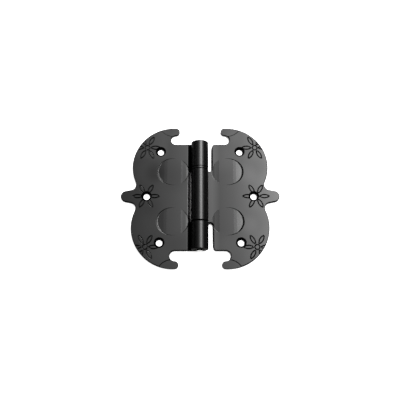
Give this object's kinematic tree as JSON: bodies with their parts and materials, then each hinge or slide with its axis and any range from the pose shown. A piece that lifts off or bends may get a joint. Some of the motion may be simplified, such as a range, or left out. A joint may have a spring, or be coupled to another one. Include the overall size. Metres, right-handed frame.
{
  "type": "decorative hinge",
  "caption": "Flat surface hinge with lobed, hook-ended leaves, engraved flowers, sunk ovals, countersunk screw holes and a rolled barrel on a loose-turning pin.",
  "frame": {"origin": "on the back plane of the open leaves, straight under the middle of the pin", "axes": "+X across the open leaves towards the right leaf's tab, +Y along the pin towards the washer's end, +Z out of the leaves' faces"},
  "size_m": [0.0996, 0.0916, 0.0108],
  "materials": {
    "leaf_finish": "satin black coating",
    "washer_finish": "satin black coating",
    "pin_steel": "bare steel with turned ends"
  },
  "bodies": {
    "left_side": {"left_leaf": "leaf_finish", "hinge_pin": "pin_steel", "washer": "washer_finish"},
    "right_side": {"right_leaf": "leaf_finish"}
  },
  "joints": [
    {"name": "hinge_turn", "type": "hinge", "parent": "left_side", "child": "right_side", "pos_m": [0, 0, 0.0054], "axis": [0, -1, 0], "range_deg": [-95, 185]}
  ]
}
